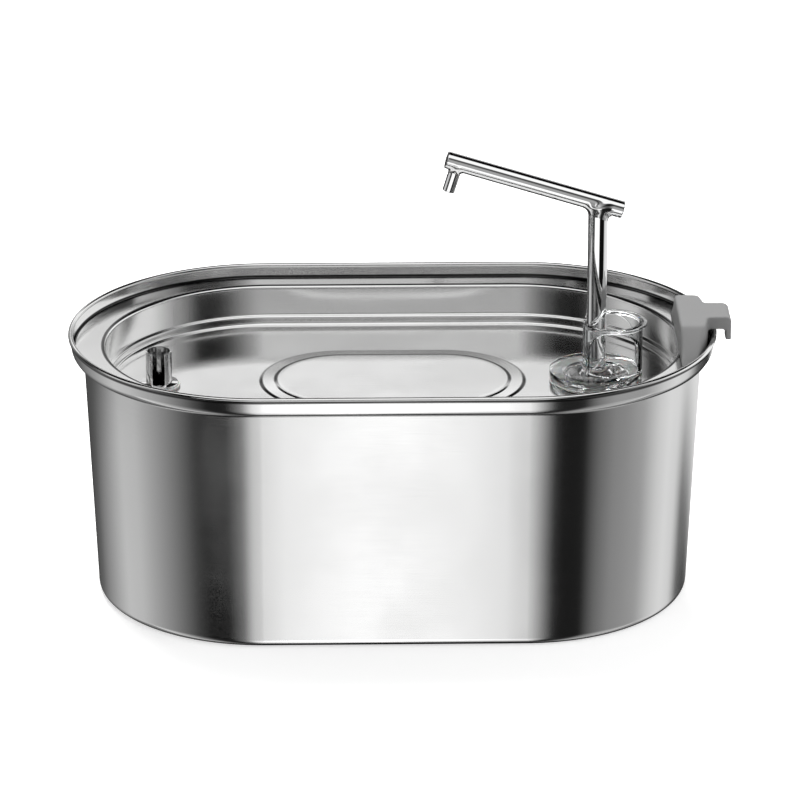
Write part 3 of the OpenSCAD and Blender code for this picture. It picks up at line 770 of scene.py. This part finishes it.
# --- Cable clip -------------------------------------------------------------------------
# Moulded in matt grey ABS: a block that fills the tray's notch and stands on the rim, and a
# hook that drops over the bead. A channel below its roof leads the pump's lead outside.
clip_abs = Finish("clip_abs", IOR=1.5, Specular_IOR_Level=0.4)
spark = clip_abs.noise(900.0, 3.0)
sheen = clip_abs.noise(28.0, 2.0)
clip_abs.drive(
    Base_Color=clip_abs.blend(sheen, (0.215, 0.215, 0.215, 1), (0.235, 0.235, 0.235, 1)),
    Roughness=clip_abs.vary(sheen, 0.5, 0.62),
).relief(spark, 0.00003)

# Where the clip's edges are worn round, in millimetres, and how much.
CLIP_VOXEL = 0.35
FOOT_TOP, FOOT_FADE = 117.5, 5
HOOK_X, HOOK_FADE = 131, 6
HOOK_SIDE, SIDE_FADE = 11.5, 1.5
HOOK_KEEPS = 0.7
LEAST_WEAR = 0.03
WEAR_SHARE, WEAR_ROUNDS = 0.5, 150


def shoulder(x, y, z):
    """1 on the block's shoulders, some on the hook's top, next to nothing on its foot."""
    above_foot = np.clip((z - FOOT_TOP) / FOOT_FADE, 0, 1)
    on_hook = (np.clip((x - HOOK_X) / HOOK_FADE, 0, 1)
               * np.clip((HOOK_SIDE - np.abs(y)) / SIDE_FADE, 0, 1))
    return np.maximum(above_foot * (1 - HOOK_KEEPS * on_hook), LEAST_WEAR)


clip = shown("cable_clip_block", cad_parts["cable_clip"].data.copy(), clip_abs)
remeshed(clip, CLIP_VOXEL)
soft = clip.vertex_groups.new(name="shoulders")
for index, share in enumerate(shoulder(*spots_of(clip.data).T)):
    soft.add([index], float(share), "REPLACE")
wear = clip.modifiers.new("wear", "SMOOTH")
wear.factor = WEAR_SHARE
wear.iterations = WEAR_ROUNDS
wear.vertex_group = "shoulders"
applied(clip)
kept_in = [np.array(corner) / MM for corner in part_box("cable_clip")]
clip.data.vertices.foreach_set("co", (np.clip(spots_of(clip.data), *kept_in) * MM).ravel())
clip.data.update()
smooth(clip.data, 60)
fitted(clip, "clip", "grey_plastic", "cable_clip")

# --- Pump housing, cover and gland ------------------------------------------------------
# The motor box and the impeller chamber are one black glass-filled moulding with an outlet
# spigot on top, closed behind by a snapped-in cover. The lead leaves through a rubber gland,
# and four suckers hold the pump to the tub's floor.
pump_black = Finish("pump_black", IOR=1.5, Specular_IOR_Level=0.45)
pump_grain = pump_black.noise(700.0, 3.0)
pump_wear = pump_black.noise(60.0, 4.0)
pump_black.drive(
    Base_Color=pump_black.blend(pump_wear, (0.022, 0.023, 0.025, 1), (0.045, 0.046, 0.048, 1)),
    Roughness=pump_black.vary(pump_wear, 0.38, 0.55),
).relief(pump_grain, 0.00004)
fitted_copy("pump_housing", "pump_body", pump_black, 0.6, "tub", "pump_plastic", 3)
fitted_copy("pump_rear_cover", "pump_back_cover", pump_black, 0.4, "tub", "pump_plastic")
fitted_copy("cable_gland", "lead_gland", rubber, 0.25, "tub", "black_rubber")
fitted_copy("suction_cups", "pump_suckers", rubber, 0.25, "tub", "black_rubber")

# --- Stator, coil and board -------------------------------------------------------------
# A stack of steel laminations makes a U round the rotor's well, a nylon bobbin on its yoke
# carries the enamelled copper coil, and a small board at the back switches it.
lamination = Finish("lamination_steel", Metallic=0.85)
stack = lamination.add("ShaderNodeTexWave", {"wave_type": "BANDS", "bands_direction": "X"}, {
    "Vector": lamination.place((1, 1, 1)), "Scale": 320.0, "Distortion": 0.4})
rust = lamination.noise(120.0, 4.0)
lamination.drive(
    Base_Color=lamination.blend(rust, (0.26, 0.26, 0.27, 1), (0.36, 0.35, 0.35, 1)),
    Roughness=lamination.vary(rust, 0.35, 0.55),
).relief(stack, 0.00008)
fitted_copy("stator_core", "stator_stack", lamination, 0.15, "tub", "core_steel")

nylon = Finish("bobbin_nylon", IOR=1.52, Subsurface_Weight=0.1, Subsurface_Scale=0.001)
nylon_grain = nylon.noise(200.0, 3.0)
nylon.drive(
    Base_Color=nylon.blend(nylon_grain, (0.70, 0.66, 0.55, 1), (0.78, 0.74, 0.64, 1)),
    Roughness=nylon.vary(nylon_grain, 0.4, 0.55),
)
fitted_copy("coil_bobbin", "coil_former", nylon, 0.2, "tub", "bobbin_plastic")

enamel = Finish("copper_enamel", Metallic=0.9, Coat_Weight=0.6, Coat_Roughness=0.1)
tint = enamel.noise(260.0, 2.0)
enamel.drive(
    Base_Color=enamel.blend(tint, (0.62, 0.25, 0.10, 1), (0.74, 0.34, 0.15, 1)),
    Roughness=enamel.vary(tint, 0.24, 0.36),
)
coil_low, coil_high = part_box("coil_winding")
WIRE = 0.5
TURNS = 24
COIL_BEND = 0.8


def turns_tree(name, finish):
    """Lays one turn of wire side by side along Y, as many as asked."""
    tree = bpy.data.node_groups.new(name, "GeometryNodeTree")
    tree.interface.new_socket("Turn", in_out="INPUT", socket_type="NodeSocketGeometry")
    for label, kind in (("Turns", "NodeSocketInt"), ("Pitch", "NodeSocketFloat"),
                        ("Wire", "NodeSocketFloat"), ("Start", "NodeSocketVector")):
        tree.interface.new_socket(label, in_out="INPUT", socket_type=kind)
    tree.interface.new_socket("Coil", in_out="OUTPUT", socket_type="NodeSocketGeometry")
    add, link = tree.nodes.new, tree.links.new
    given, made = add("NodeGroupInput"), add("NodeGroupOutput")
    step = add("ShaderNodeCombineXYZ")
    link(given.outputs["Pitch"], step.inputs["Y"])
    line = add("GeometryNodeMeshLine")
    link(given.outputs["Turns"], line.inputs["Count"])
    link(given.outputs["Start"], line.inputs["Start Location"])
    link(step.outputs[0], line.inputs["Offset"])
    curve = add("GeometryNodeMeshToCurve")
    link(given.outputs["Turn"], curve.inputs["Mesh"])
    round_wire = add("GeometryNodeCurvePrimitiveCircle")
    round_wire.inputs["Resolution"].default_value = 8
    link(given.outputs["Wire"], round_wire.inputs["Radius"])
    tube = add("GeometryNodeCurveToMesh")
    link(curve.outputs[0], tube.inputs["Curve"])
    link(round_wire.outputs[0], tube.inputs["Profile Curve"])
    copies = add("GeometryNodeInstanceOnPoints")
    link(line.outputs[0], copies.inputs["Points"])
    link(tube.outputs[0], copies.inputs["Instance"])
    real = add("GeometryNodeRealizeInstances")
    link(copies.outputs[0], real.inputs[0])
    paint = add("GeometryNodeSetMaterial")
    paint.inputs["Material"].default_value = finish.material
    link(real.outputs[0], paint.inputs["Geometry"])
    link(paint.outputs[0], made.inputs["Coil"])
    return tree


def grown(piece, tree, **sizes):
    """Runs a node tree on the piece and keeps the mesh it makes."""
    grow = piece.modifiers.new("grow", "NODES")
    grow.node_group = tree
    for item in tree.interface.items_tree:
        if item.in_out == "INPUT" and item.name in sizes:
            grow[item.identifier] = sizes[item.name]
    applied(piece)


def coil_loop(low, high, inset, radius):
    """The middle line of one turn, a rounded rectangle in XZ."""
    x0, x1 = low.x + inset, high.x - inset
    z0, z1 = low.z + inset, high.z - inset
    corners = [(x1 - radius, z1 - radius, 0), (x0 + radius, z1 - radius, 90),
               (x0 + radius, z0 + radius, 180), (x1 - radius, z0 + radius, 270)]
    points = []
    for x, z, start in corners:
        for a in np.radians(np.linspace(start, start + 90, 6)):
            points.append((x + radius * math.cos(a), 0.0, z + radius * math.sin(a)))
    return points


coil_points = coil_loop(coil_low, coil_high, WIRE * MM / 2, COIL_BEND * MM)
coil_edges = [(i, (i + 1) % len(coil_points)) for i in range(len(coil_points))]
coil_data = bpy.data.meshes.new("coil_turns")
coil_data.from_pydata(coil_points, coil_edges, [])
coil = bpy.data.objects.new("coil_turns", coil_data)
bpy.context.scene.collection.objects.link(coil)
grown(coil, turns_tree("coil_turns_tree", enamel), Turns=TURNS, Pitch=WIRE * MM,
      Wire=WIRE * MM / 2, Start=(0.0, coil_low.y + WIRE * MM / 2, 0.0))
smooth(coil.data, 60)
fitted(coil, "tub", "copper_wire")
fitted_copy("coil_winding", "coil_inner_layers", enamel, 0.3, "tub", "copper_wire")

solder_mask = Finish("solder_mask", IOR=1.5, Coat_Weight=0.3)
tracks = solder_mask.add("ShaderNodeTexBrick", {"offset": 0.5}, {
    "Vector": solder_mask.place((1, 1, 1), (0, math.pi / 2, 0)), "Scale": 260.0,
    "Mortar Size": 0.03, "Color1": (0.012, 0.10, 0.035, 1), "Color2": (0.014, 0.13, 0.045, 1),
    "Mortar": (0.02, 0.17, 0.06, 1)}, out="Color")
solder_mask.drive(
    Base_Color=tracks,
    Roughness=solder_mask.vary(solder_mask.noise(300.0), 0.28, 0.4),
)
fitted_copy("control_board", "control_board_card", solder_mask, 0.1, "tub", "circuit_board")

# --- Rotor and bushes -------------------------------------------------------------------
# A ferrite magnet moulded round the impeller's hub turns on a ceramic shaft, between a rear
# bush in the well and a front bush in the intake cover.
ferrite = Finish("ferrite", IOR=1.9)
grit = ferrite.noise(500.0, 4.0)
ferrite.drive(
    Base_Color=ferrite.blend(grit, (0.03, 0.03, 0.032, 1), (0.06, 0.06, 0.062, 1)),
    Roughness=ferrite.vary(grit, 0.35, 0.55),
).relief(grit, 0.00003)
fitted_copy("rotor_magnet", "rotor_ferrite", ferrite, 0.3, "rotor", "magnet")

acetal = Finish("white_acetal", IOR=1.48, Subsurface_Weight=0.1, Subsurface_Scale=0.001)
acetal_grain = acetal.noise(240.0, 3.0)
acetal.drive(
    Base_Color=acetal.blend(acetal_grain, (0.76, 0.76, 0.75, 1), (0.84, 0.84, 0.83, 1)),
    Roughness=acetal.vary(acetal_grain, 0.32, 0.45),
)
fitted_copy("impeller", "impeller_wheel", acetal, 0.15, "rotor", "white_plastic")

alumina = Finish("alumina", IOR=1.76)
glaze = alumina.noise(500.0, 2.0)
alumina.drive(
    Base_Color=alumina.blend(glaze, (0.80, 0.79, 0.75, 1), (0.88, 0.87, 0.83, 1)),
    Roughness=alumina.vary(glaze, 0.12, 0.22),
)
fitted_copy("rotor_shaft", "rotor_pin", alumina, 0.15, "tub", "ceramic")

bush_resin = Finish("bush_resin", IOR=1.5)
bush_grain = bush_resin.noise(400.0, 3.0)
bush_resin.drive(
    Base_Color=bush_resin.blend(bush_grain, (0.05, 0.05, 0.05, 1), (0.09, 0.09, 0.09, 1)),
    Roughness=bush_resin.vary(bush_grain, 0.4, 0.55),
)
fitted_copy("rear_bush", "rear_bearing_bush", bush_resin, 0.15, "tub", "bush_plastic")
fitted_copy("front_bush", "front_bearing_bush", bush_resin, 0.1, "intake", "bush_plastic")

# --- Intake cover and flow dial ---------------------------------------------------------
# The cover snaps over the impeller chamber and holds the front bush on three spokes. The
# round dial in front turns to open or shut the inlet.
fitted_copy("intake_cover", "intake_cover_plate", pump_black, 0.35, "intake", "pump_plastic")
dial_grey = Finish("dial_grey", IOR=1.5)
dial_grain = dial_grey.noise(500.0, 3.0)
dial_grey.drive(
    Base_Color=dial_grey.blend(dial_grain, (0.20, 0.21, 0.22, 1), (0.27, 0.28, 0.29, 1)),
    Roughness=dial_grey.vary(dial_grain, 0.38, 0.5),
).relief(dial_grain, 0.00002)
fitted_copy("flow_dial", "flow_dial_knob", dial_grey, 0.25, "dial", "dial_plastic")

# --- Filter case, foam and carbon -------------------------------------------------------
# A blue-grey polypropylene case with a slotted front slips over the intake. It holds a block
# of open-cell foam, which keeps hair out, and a carbon cartridge in white fleece.
case_pp = Finish("case_pp", IOR=1.49, Specular_IOR_Level=0.4)
case_grain = case_pp.noise(600.0, 3.0)
case_tone = case_pp.noise(40.0, 3.0)
case_pp.drive(
    Base_Color=case_pp.blend(case_tone, (0.10, 0.13, 0.16, 1), (0.13, 0.16, 0.195, 1)),
    Roughness=case_pp.vary(case_tone, 0.42, 0.55),
).relief(case_grain, 0.00003)
fitted_copy("filter_case", "filter_case_box", case_pp, 0.5, "case", "case_plastic", 3)

sponge = Finish("open_cell_foam", Specular_IOR_Level=0.2)
cells = sponge.add("ShaderNodeTexVoronoi", {"feature": "F1"}, {
    "Vector": sponge.place(), "Scale": 900.0}, out="Distance")
pore = sponge.spread(cells, 0.15, 0.55, 0.0, 1.0)
sponge.drive(
    Base_Color=sponge.blend(pore, (0.012, 0.014, 0.016, 1), (0.07, 0.08, 0.09, 1)),
    Roughness=sponge.spread(cells, 0.0, 1.0, 0.8, 0.95),
).relief(pore, 0.0004)
fitted_copy("foam_block", "foam_filter", sponge, 0.8, "foam", "foam", 3)

fleece = Finish("carbon_fleece", Specular_IOR_Level=0.2, Sheen_Weight=0.3)
fibres = fleece.noise(1200.0, 5.0, (1, 0.3, 1), 0.7)
granules = fleece.add("ShaderNodeTexVoronoi", {"feature": "F1"}, {
    "Vector": fleece.place(), "Scale": 500.0}, out="Distance")
fleece.drive(
    Base_Color=fleece.blend(fleece.spread(granules, 0.0, 0.5, 0.0, 1.0),
                            (0.42, 0.42, 0.42, 1), (0.74, 0.74, 0.73, 1)),
    Roughness=fleece.vary(fibres, 0.75, 0.95),
).relief(fibres + granules * 0.8, 0.00025)
fitted_copy("carbon_cartridge", "carbon_filter", fleece, 0.9, "carbon", "white_plastic", 3)

# --- Stage: floor, studio light and camera ----------------------------------------------
# A white floor that keeps the contact shadow, a soft studio whose glossy side has the dark
# and light screens that polished steel needs, two soft boxes and a long lens.
scene = bpy.context.scene
scene.view_settings.view_transform = "Standard"

FLOOR_REACH = 4.0
floor_data = bpy.data.meshes.new("floor")
floor_data.from_pydata([(x * FLOOR_REACH, y * FLOOR_REACH, 0) for x, y in (
    (-1, -1), (1, -1), (1, 1), (-1, 1))], [], [(0, 1, 2, 3)])
floor = bpy.data.objects.new("floor", floor_data)
scene.collection.objects.link(floor)
floor.visible_glossy = False
FLOOR_GLOW = 0.5
paper = Finish("white_paper", Roughness=0.9, Specular_IOR_Level=0.0,
               Base_Color=(0.8, 0.8, 0.8, 1), Emission_Color=(1, 1, 1, 1))


def seen(nodes):
    """1 for what the lens sees, also through clear plastic."""
    sight = nodes.tree.nodes.new("ShaderNodeLightPath")
    return (Shade(nodes, sight.outputs["Is Camera Ray"])
            + Shade(nodes, sight.outputs["Is Transmission Ray"]))


paper.drive(Emission_Strength=seen(paper) * FLOOR_GLOW)
floor_data.materials.append(paper.material)


def grey(level):
    """Linear light for a display grey of 0 to 255."""
    v = level / 255
    return v / 12.92 if v <= 0.04045 else ((v + 0.055) / 1.055) ** 2.4


# What polished steel mirrors: display greys by degrees round the object, in five rings from low
# to high, and how bright they are by height, from straight down at -1 to straight up at 1.
STEEL_SHARE = 0.82
low_screens = [(-180, 45), (-150, 95), (-128, 150), (-109, 188), (-94, 182), (-81, 158),
               (-69, 133), (-58, 104), (-47, 62), (-38, 24), (-24, 22), (-14, 100), (-7, 190),
               (-0.4, 193), (0.55, 312), (1.15, 312), (2.1, 194), (5, 186), (9, 160), (15, 105),
               (20, 38), (25, 24), (40, 27), (50, 100), (62, 130), (85, 148), (100, 195),
               (112, 212), (124, 200), (136, 90), (150, 50), (180, 45)]
post_screens = [(-180, 60), (-120, 85), (-60, 80), (-52, 20), (-42, 12), (-37, 250), (14, 254),
                (19, 12), (70, 14), (80, 200), (120, 225), (180, 200)]
middle_screens = [(-180, 140), (-166, 140), (-150, 130), (-138, 90), (-128, 24), (-116, 24),
                  (-108, 120), (-98, 200), (-84, 200), (-74, 168), (-60, 90), (-50, 10),
                  (-34, 10), (-22, 92), (-10, 145), (-3, 142), (0, 134), (3, 134), (8, 152),
                  (13, 155), (22, 134), (30, 80), (38, 10), (52, 8), (63, 128), (77, 176),
                  (93, 225), (120, 235), (150, 235), (166, 140), (180, 140)]
high_screens = [(-180, 248), (-160, 248), (-150, 150), (-138, 90), (-128, 24), (-116, 24),
                (-108, 120), (-98, 200), (-84, 200), (-74, 168), (-60, 100), (-52, 8), (-32, 8),
                (-22, 90), (-12, 160), (-4, 226), (4, 226), (12, 160), (22, 90), (32, 8),
                (52, 8), (62, 120), (77, 176), (93, 225), (120, 235), (150, 240), (180, 248)]
top_screens = [(-180, 248), (-150, 240), (-120, 230), (-90, 220), (-72, 190), (-60, 100),
               (-52, 8), (-32, 8), (-22, 90), (-12, 150), (-4, 200), (4, 200), (12, 150),
               (22, 90), (32, 8), (52, 8), (62, 120), (77, 176), (93, 225), (120, 235),
               (150, 240), (180, 248)]
front_bands = [(-1, 130), (-0.985, 130), (-0.96, 255), (-0.82, 300), (-0.64, 310), (-0.58, 255),
               (0.45, 255), (0.48, 140), (0.55, 140), (0.58, 255), (1, 255)]
back_bands = [(-1, 150), (-0.7, 180), (-0.6, 255), (0.43, 255), (0.48, 12), (0.988, 12),
              (0.996, 255), (1, 255)]


def stops(screens):
    """A ring's greys as a ramp's stops, made up for what steel swallows."""
    return [((angle + 180) / 360, grey(level) / STEEL_SHARE) for angle, level in screens]


def band_stops(bands):
    """Levels by height as a ramp's stops."""
    return [((height + 1) / 2, grey(level)) for height, level in bands]


AMBIENT = 0.62
CEILING = (0.66, 0.76)
CEILING_LEVEL = (1.1, 1.1, 1.1, 1)
BACK_HALF = (0.02, 0.08)
rings = ((post_screens, -0.415, -0.375), (middle_screens, -0.16, -0.1),
         (high_screens, 0.335, 0.36), (top_screens, 0.42, 0.48))
world = bpy.data.worlds.new("studio")
scene.world = world
world.use_nodes = True
sky = Nodes(world.node_tree)
world.node_tree.nodes.clear()
aim = sky.add("ShaderNodeTexCoord", out="Generated")
parts = sky.add("ShaderNodeSeparateXYZ", None, {0: aim}).socket.node
east, north, up = (Shade(sky, parts.outputs[i]) for i in range(3))
bearing = sky.add("ShaderNodeMath", {"operation": "ARCTAN2"}, {0: east, 1: 0 - north})
around = bearing * (0.5 / math.pi) + 0.5


def ramp(marks, place):
    """Grey by place along a ramp."""
    return sky.add("ShaderNodeValToRGB", {"stops": marks}, {"Fac": place})


def rising(value, low, high):
    """0 below the low height, 1 above the high one."""
    return sky.spread(value, low, high, 0.0, 1.0)


screens = ramp(stops(low_screens), around)
for ring, from_height, to_height in rings:
    screens = sky.blend(rising(up, from_height, to_height), screens, ramp(stops(ring), around))
screens = sky.blend(rising(up, *CEILING), screens, CEILING_LEVEL)
height = up * 0.5 + 0.5
bands = sky.blend(rising(north, *BACK_HALF), ramp(band_stops(front_bands), height),
                  ramp(band_stops(back_bands), height))
screens = sky.blend(1.0, screens, bands, "MULTIPLY")
path = sky.tree.nodes.new("ShaderNodeLightPath")
ambient = sky.add("ShaderNodeBackground", None, {"Color": (1, 1, 1, 1), "Strength": AMBIENT})
mirror = sky.add("ShaderNodeBackground", None, {"Color": screens, "Strength": 1.0})
plain = sky.add("ShaderNodeBackground", None, {"Color": (1, 1, 1, 1), "Strength": 1.0})
lit = sky.add("ShaderNodeMixShader", None, {
    0: Shade(sky, path.outputs["Is Glossy Ray"]), 1: ambient, 2: mirror})
seen_world = sky.add("ShaderNodeMixShader", None, {0: seen(sky), 1: lit, 2: plain})
world_out = sky.tree.nodes.new("ShaderNodeOutputWorld")
sky.tree.links.new(seen_world.socket, world_out.inputs["Surface"])

LIT_SPOT = (0, 0, 0.08)
for name, spot, width, power in (("key_box", (-0.2, 0.75, 1.75), 1.0, 38.0),
                                 ("fill_box", (1.3, -0.4, 1.2), 0.8, 5.0)):
    lamp = bpy.data.lights.new(name, "AREA")
    lamp.shape = "SQUARE"
    lamp.size = width
    lamp.energy = power
    box = bpy.data.objects.new(name, lamp)
    scene.collection.objects.link(box)
    box.location = spot
    box.visible_glossy = False
    aim_at = Vector(LIT_SPOT) - Vector(spot)
    box.rotation_euler = aim_at.to_track_quat("-Z", "Y").to_euler()

ELEVATION = math.radians(22.09)
AZIMUTH = math.radians(-1.05)
DISTANCE = 2.2
LENS_PIXELS = 4867.0
PICTURE = 800
CENTRE = (392.6, 457.2)
TARGET = (0, 0, 0.06)
back = Vector((math.sin(AZIMUTH) * math.cos(ELEVATION), -math.cos(AZIMUTH) * math.cos(ELEVATION),
               math.sin(ELEVATION)))
right = Vector((math.cos(AZIMUTH), math.sin(AZIMUTH), 0))
upward = back.cross(right)
look = (-back + right * ((PICTURE / 2 - CENTRE[0]) / LENS_PIXELS)
        + upward * ((CENTRE[1] - PICTURE / 2) / LENS_PIXELS)).normalized()
lens = bpy.data.cameras.new("camera")
lens.sensor_width = 36.0
lens.lens = LENS_PIXELS / PICTURE * lens.sensor_width
lens.clip_end = 50.0
camera = bpy.data.objects.new("camera", lens)
scene.collection.objects.link(camera)
side = look.cross(upward).normalized()
camera.matrix_world = Matrix.Translation(Vector(TARGET) + back * DISTANCE) @ Matrix(
    (side, side.cross(look), -look)).transposed().to_4x4()
scene.camera = camera
